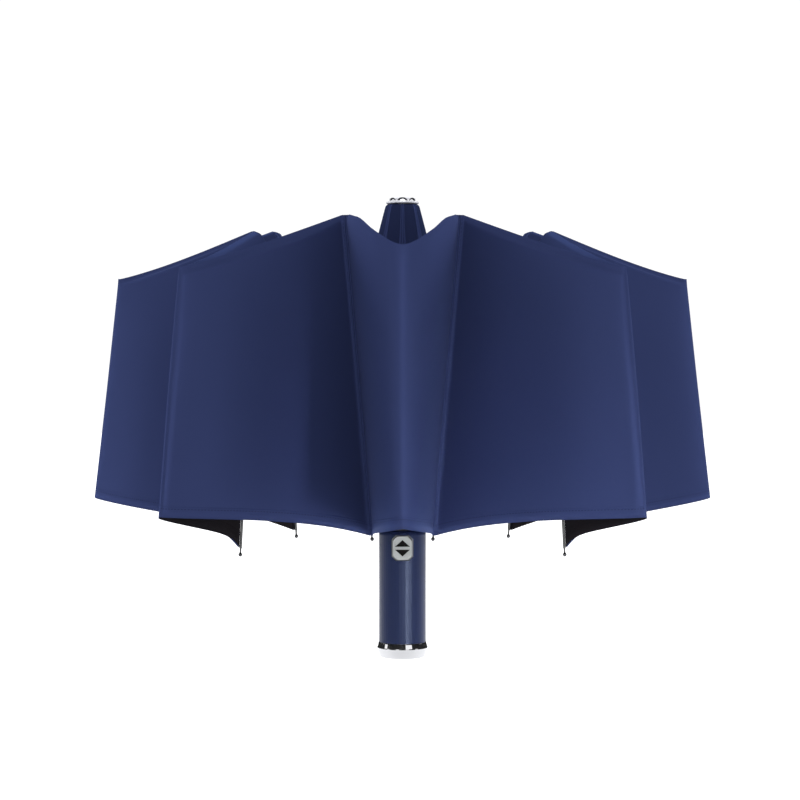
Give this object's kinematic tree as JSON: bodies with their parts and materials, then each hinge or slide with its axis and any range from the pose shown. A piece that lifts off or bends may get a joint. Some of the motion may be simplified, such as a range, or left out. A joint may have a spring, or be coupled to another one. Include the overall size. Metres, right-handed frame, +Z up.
{
  "type": "led umbrella",
  "caption": "Three-fold automatic umbrella with a torch in its handle, half gathered: navy cloth lobes on Z-folding ribs, telescoping shaft, push button.",
  "frame": {"origin": "centre of the hand grip, on the shaft's axis", "axes": "+Z up along the shaft towards the top cap; -Y is the front, where the push button is; +X is to the right seen from the front"},
  "size_m": [0.4544, 0.4185, 0.3375],
  "materials": {
    "handle_navy": "soft-touch matte navy",
    "ring_chrome": "mirror chrome",
    "lens_clear": "clear",
    "reflector_bright": "mirror",
    "board_white": "matte white",
    "plastic_black": "moulded black",
    "cell_silver": "satin",
    "button_silver": "satin silver",
    "mark_black": "matte",
    "switch_rubber": "matte",
    "spring_steel": "bright",
    "shaft_steel": "plated, bright",
    "rib_steel": "plated, satin",
    "rib_dark_steel": "black plated",
    "rib_fibre": "smooth black",
    "cap_chrome": "mirror chrome",
    "canopy_navy": "satin navy cloth"
  },
  "bodies": {
    "handle": {"handle_shell": "handle_navy", "tube_socket": "plastic_black", "outer_tube": "shaft_steel", "torch_ring": "ring_chrome", "torch_lens": "lens_clear", "torch_reflector": "reflector_bright", "led_board": "board_white", "battery_carrier": "plastic_black", "battery_cell_1": "cell_silver", "battery_cell_2": "cell_silver", "battery_cell_3": "cell_silver", "battery_cell_4": "cell_silver", "contact_spring": "spring_steel", "button_spring": "spring_steel"},
    "open_close_button": {"open_close_button": "button_silver", "button_up_mark": "mark_black", "button_down_mark": "mark_black"},
    "torch_switch": {"torch_switch": "switch_rubber"},
    "middle_shaft": {"middle_tube": "shaft_steel"},
    "top_shaft": {"top_tube": "shaft_steel", "crown": "plastic_black", "top_cap": "cap_chrome", "canopy": "canopy_navy"},
    "runner": {"runner": "plastic_black"},
    "inner_rib_1": {"inner_rib_1": "rib_steel"},
    "middle_rib_1": {"middle_rib_1": "rib_steel"},
    "outer_rib_1": {"outer_rib_1": "rib_fibre"},
    "stretcher_1": {"stretcher_1": "rib_dark_steel"},
    "inner_rib_2": {"inner_rib_2": "rib_steel"},
    "middle_rib_2": {"middle_rib_2": "rib_steel"},
    "outer_rib_2": {"outer_rib_2": "rib_fibre"},
    "stretcher_2": {"stretcher_2": "rib_dark_steel"},
    "inner_rib_3": {"inner_rib_3": "rib_steel"},
    "middle_rib_3": {"middle_rib_3": "rib_steel"},
    "outer_rib_3": {"outer_rib_3": "rib_fibre"},
    "stretcher_3": {"stretcher_3": "rib_dark_steel"},
    "inner_rib_4": {"inner_rib_4": "rib_steel"},
    "middle_rib_4": {"middle_rib_4": "rib_steel"},
    "outer_rib_4": {"outer_rib_4": "rib_fibre"},
    "stretcher_4": {"stretcher_4": "rib_dark_steel"},
    "inner_rib_5": {"inner_rib_5": "rib_steel"},
    "middle_rib_5": {"middle_rib_5": "rib_steel"},
    "outer_rib_5": {"outer_rib_5": "rib_fibre"},
    "stretcher_5": {"stretcher_5": "rib_dark_steel"},
    "inner_rib_6": {"inner_rib_6": "rib_steel"},
    "middle_rib_6": {"middle_rib_6": "rib_steel"},
    "outer_rib_6": {"outer_rib_6": "rib_fibre"},
    "stretcher_6": {"stretcher_6": "rib_dark_steel"},
    "inner_rib_7": {"inner_rib_7": "rib_steel"},
    "middle_rib_7": {"middle_rib_7": "rib_steel"},
    "outer_rib_7": {"outer_rib_7": "rib_fibre"},
    "stretcher_7": {"stretcher_7": "rib_dark_steel"},
    "inner_rib_8": {"inner_rib_8": "rib_steel"},
    "middle_rib_8": {"middle_rib_8": "rib_steel"},
    "outer_rib_8": {"outer_rib_8": "rib_fibre"},
    "stretcher_8": {"stretcher_8": "rib_dark_steel"}
  },
  "joints": [
    {"name": "button_press", "type": "slide", "parent": "handle", "child": "open_close_button", "axis": [0, 1, 0], "range_m": [0, 0.0015], "stiffness_N_per_m": 900, "springref_m": -0.001, "deforming": ["button_spring"]},
    {"name": "torch_switch_press", "type": "slide", "parent": "handle", "child": "torch_switch", "axis": [0, -1, 0], "range_m": [0, 0.0009], "stiffness_N_per_m": 900, "springref_m": -0.0006},
    {"name": "middle_shaft_slide", "type": "slide", "parent": "handle", "child": "middle_shaft", "axis": [0, 0, 1], "range_m": [0, 0.12]},
    {"name": "top_shaft_slide", "type": "slide", "parent": "middle_shaft", "child": "top_shaft", "axis": [0, 0, 1], "range_m": [0, 0.12]},
    {"name": "runner_slide", "type": "slide", "parent": "top_shaft", "child": "runner", "axis": [0, 0, 1], "range_m": [-0.0055, 0.0915], "deforming": ["canopy"]},
    {"name": "inner_rib_pivot_1", "type": "hinge", "parent": "top_shaft", "child": "inner_rib_1", "pos_m": [0.0039, -0.00942, 0.2715], "axis": [-0.9239, -0.3827, 0], "range_deg": [-3.84, 63.15]},
    {"name": "middle_rib_pivot_1", "type": "hinge", "parent": "inner_rib_1", "child": "middle_rib_1", "pos_m": [0.01596, -0.03852, 0.15312], "axis": [0.9239, 0.3827, 0], "range_deg": [-8.85, 146.45]},
    {"name": "outer_rib_pivot_1", "type": "hinge", "parent": "middle_rib_1", "child": "outer_rib_1", "pos_m": [0.03865, -0.09332, 0.26145], "axis": [-0.9239, -0.3827, 0], "range_deg": [-9.04, 149.65]},
    {"name": "stretcher_pivot_1", "type": "hinge", "parent": "runner", "child": "stretcher_1", "pos_m": [0.0039, -0.00942, 0.1536], "axis": [0.9239, 0.3827, 0], "range_deg": [-3.84, 63.15]},
    {"name": "inner_rib_pivot_2", "type": "hinge", "parent": "top_shaft", "child": "inner_rib_2", "pos_m": [0.00942, -0.0039, 0.2715], "axis": [-0.3827, -0.9239, 0], "range_deg": [-3.84, 63.15]},
    {"name": "middle_rib_pivot_2", "type": "hinge", "parent": "inner_rib_2", "child": "middle_rib_2", "pos_m": [0.03852, -0.01596, 0.15312], "axis": [0.3827, 0.9239, 0], "range_deg": [-8.46, 139.95]},
    {"name": "outer_rib_pivot_2", "type": "hinge", "parent": "middle_rib_2", "child": "outer_rib_2", "pos_m": [0.10429, -0.0432, 0.25404], "axis": [-0.3827, -0.9239, 0], "range_deg": [-7.79, 128.75]},
    {"name": "stretcher_pivot_2", "type": "hinge", "parent": "runner", "child": "stretcher_2", "pos_m": [0.00942, -0.0039, 0.1536], "axis": [0.3827, 0.9239, 0], "range_deg": [-3.84, 63.15]},
    {"name": "inner_rib_pivot_3", "type": "hinge", "parent": "top_shaft", "child": "inner_rib_3", "pos_m": [0.00942, 0.0039, 0.2715], "axis": [0.3827, -0.9239, 0], "range_deg": [-3.84, 63.15]},
    {"name": "middle_rib_pivot_3", "type": "hinge", "parent": "inner_rib_3", "child": "middle_rib_3", "pos_m": [0.03852, 0.01596, 0.15312], "axis": [-0.3827, 0.9239, 0], "range_deg": [-8.77, 145.15]},
    {"name": "outer_rib_pivot_3", "type": "hinge", "parent": "middle_rib_3", "child": "outer_rib_3", "pos_m": [0.09557, 0.03959, 0.26007], "axis": [0.3827, -0.9239, 0], "range_deg": [-8.54, 141.35]},
    {"name": "stretcher_pivot_3", "type": "hinge", "parent": "runner", "child": "stretcher_3", "pos_m": [0.00942, 0.0039, 0.1536], "axis": [-0.3827, 0.9239, 0], "range_deg": [-3.84, 63.15]},
    {"name": "inner_rib_pivot_4", "type": "hinge", "parent": "top_shaft", "child": "inner_rib_4", "pos_m": [0.0039, 0.00942, 0.2715], "axis": [0.9239, -0.3827, 0], "range_deg": [-3.84, 63.15]},
    {"name": "middle_rib_pivot_4", "type": "hinge", "parent": "inner_rib_4", "child": "middle_rib_4", "pos_m": [0.01596, 0.03852, 0.15312], "axis": [-0.9239, 0.3827, 0], "range_deg": [-8.77, 145.15]},
    {"name": "outer_rib_pivot_4", "type": "hinge", "parent": "middle_rib_4", "child": "outer_rib_4", "pos_m": [0.03959, 0.09557, 0.26007], "axis": [0.9239, -0.3827, 0], "range_deg": [-8.65, 143.05]},
    {"name": "stretcher_pivot_4", "type": "hinge", "parent": "runner", "child": "stretcher_4", "pos_m": [0.0039, 0.00942, 0.1536], "axis": [-0.9239, 0.3827, 0], "range_deg": [-3.84, 63.15]},
    {"name": "inner_rib_pivot_5", "type": "hinge", "parent": "top_shaft", "child": "inner_rib_5", "pos_m": [-0.0039, 0.00942, 0.2715], "axis": [0.9239, 0.3827, 0], "range_deg": [-3.84, 63.15]},
    {"name": "middle_rib_pivot_5", "type": "hinge", "parent": "inner_rib_5", "child": "middle_rib_5", "pos_m": [-0.01596, 0.03852, 0.15312], "axis": [-0.9239, -0.3827, 0], "range_deg": [-8.77, 145.15]},
    {"name": "outer_rib_pivot_5", "type": "hinge", "parent": "middle_rib_5", "child": "outer_rib_5", "pos_m": [-0.03959, 0.09557, 0.26007], "axis": [0.9239, 0.3827, 0], "range_deg": [-8.65, 143.05]},
    {"name": "stretcher_pivot_5", "type": "hinge", "parent": "runner", "child": "stretcher_5", "pos_m": [-0.0039, 0.00942, 0.1536], "axis": [-0.9239, -0.3827, 0], "range_deg": [-3.84, 63.15]},
    {"name": "inner_rib_pivot_6", "type": "hinge", "parent": "top_shaft", "child": "inner_rib_6", "pos_m": [-0.00942, 0.0039, 0.2715], "axis": [0.3827, 0.9239, 0], "range_deg": [-3.84, 63.15]},
    {"name": "middle_rib_pivot_6", "type": "hinge", "parent": "inner_rib_6", "child": "middle_rib_6", "pos_m": [-0.03852, 0.01596, 0.15312], "axis": [-0.3827, -0.9239, 0], "range_deg": [-8.77, 145.15]},
    {"name": "outer_rib_pivot_6", "type": "hinge", "parent": "middle_rib_6", "child": "outer_rib_6", "pos_m": [-0.09557, 0.03959, 0.26007], "axis": [0.3827, 0.9239, 0], "range_deg": [-8.54, 141.35]},
    {"name": "stretcher_pivot_6", "type": "hinge", "parent": "runner", "child": "stretcher_6", "pos_m": [-0.00942, 0.0039, 0.1536], "axis": [-0.3827, -0.9239, 0], "range_deg": [-3.84, 63.15]},
    {"name": "inner_rib_pivot_7", "type": "hinge", "parent": "top_shaft", "child": "inner_rib_7", "pos_m": [-0.00942, -0.0039, 0.2715], "axis": [-0.3827, 0.9239, 0], "range_deg": [-3.84, 63.15]},
    {"name": "middle_rib_pivot_7", "type": "hinge", "parent": "inner_rib_7", "child": "middle_rib_7", "pos_m": [-0.03852, -0.01596, 0.15312], "axis": [0.3827, -0.9239, 0], "range_deg": [-8.46, 139.95]},
    {"name": "outer_rib_pivot_7", "type": "hinge", "parent": "middle_rib_7", "child": "outer_rib_7", "pos_m": [-0.10429, -0.0432, 0.25404], "axis": [-0.3827, 0.9239, 0], "range_deg": [-7.79, 128.75]},
    {"name": "stretcher_pivot_7", "type": "hinge", "parent": "runner", "child": "stretcher_7", "pos_m": [-0.00942, -0.0039, 0.1536], "axis": [0.3827, -0.9239, 0], "range_deg": [-3.84, 63.15]},
    {"name": "inner_rib_pivot_8", "type": "hinge", "parent": "top_shaft", "child": "inner_rib_8", "pos_m": [-0.0039, -0.00942, 0.2715], "axis": [-0.9239, 0.3827, 0], "range_deg": [-3.84, 63.15]},
    {"name": "middle_rib_pivot_8", "type": "hinge", "parent": "inner_rib_8", "child": "middle_rib_8", "pos_m": [-0.01596, -0.03852, 0.15312], "axis": [0.9239, -0.3827, 0], "range_deg": [-8.85, 146.45]},
    {"name": "outer_rib_pivot_8", "type": "hinge", "parent": "middle_rib_8", "child": "outer_rib_8", "pos_m": [-0.03865, -0.09332, 0.26145], "axis": [-0.9239, 0.3827, 0], "range_deg": [-9.04, 149.65]},
    {"name": "stretcher_pivot_8", "type": "hinge", "parent": "runner", "child": "stretcher_8", "pos_m": [-0.0039, -0.00942, 0.1536], "axis": [0.9239, -0.3827, 0], "range_deg": [-3.84, 63.15]}
  ],
  "couplings": [
    {"joint": "inner_rib_pivot_1", "follows": "runner_slide", "rad_per_m": 12.036},
    {"joint": "middle_rib_pivot_1", "follows": "runner_slide", "rad_per_m": 27.925},
    {"joint": "outer_rib_pivot_1", "follows": "runner_slide", "rad_per_m": 28.536},
    {"joint": "stretcher_pivot_1", "follows": "runner_slide", "rad_per_m": 12.036},
    {"joint": "inner_rib_pivot_2", "follows": "runner_slide", "rad_per_m": 12.036},
    {"joint": "middle_rib_pivot_2", "follows": "runner_slide", "rad_per_m": 26.685},
    {"joint": "outer_rib_pivot_2", "follows": "runner_slide", "rad_per_m": 24.549},
    {"joint": "stretcher_pivot_2", "follows": "runner_slide", "rad_per_m": 12.036},
    {"joint": "inner_rib_pivot_3", "follows": "runner_slide", "rad_per_m": 12.036},
    {"joint": "middle_rib_pivot_3", "follows": "runner_slide", "rad_per_m": 27.677},
    {"joint": "outer_rib_pivot_3", "follows": "runner_slide", "rad_per_m": 26.952},
    {"joint": "stretcher_pivot_3", "follows": "runner_slide", "rad_per_m": 12.036},
    {"joint": "inner_rib_pivot_4", "follows": "runner_slide", "rad_per_m": 12.036},
    {"joint": "middle_rib_pivot_4", "follows": "runner_slide", "rad_per_m": 27.677},
    {"joint": "outer_rib_pivot_4", "follows": "runner_slide", "rad_per_m": 27.277},
    {"joint": "stretcher_pivot_4", "follows": "runner_slide", "rad_per_m": 12.036},
    {"joint": "inner_rib_pivot_5", "follows": "runner_slide", "rad_per_m": 12.036},
    {"joint": "middle_rib_pivot_5", "follows": "runner_slide", "rad_per_m": 27.677},
    {"joint": "outer_rib_pivot_5", "follows": "runner_slide", "rad_per_m": 27.277},
    {"joint": "stretcher_pivot_5", "follows": "runner_slide", "rad_per_m": 12.036},
    {"joint": "inner_rib_pivot_6", "follows": "runner_slide", "rad_per_m": 12.036},
    {"joint": "middle_rib_pivot_6", "follows": "runner_slide", "rad_per_m": 27.677},
    {"joint": "outer_rib_pivot_6", "follows": "runner_slide", "rad_per_m": 26.952},
    {"joint": "stretcher_pivot_6", "follows": "runner_slide", "rad_per_m": 12.036},
    {"joint": "inner_rib_pivot_7", "follows": "runner_slide", "rad_per_m": 12.036},
    {"joint": "middle_rib_pivot_7", "follows": "runner_slide", "rad_per_m": 26.685},
    {"joint": "outer_rib_pivot_7", "follows": "runner_slide", "rad_per_m": 24.549},
    {"joint": "stretcher_pivot_7", "follows": "runner_slide", "rad_per_m": 12.036},
    {"joint": "inner_rib_pivot_8", "follows": "runner_slide", "rad_per_m": 12.036},
    {"joint": "middle_rib_pivot_8", "follows": "runner_slide", "rad_per_m": 27.925},
    {"joint": "outer_rib_pivot_8", "follows": "runner_slide", "rad_per_m": 28.536},
    {"joint": "stretcher_pivot_8", "follows": "runner_slide", "rad_per_m": 12.036}
  ]
}
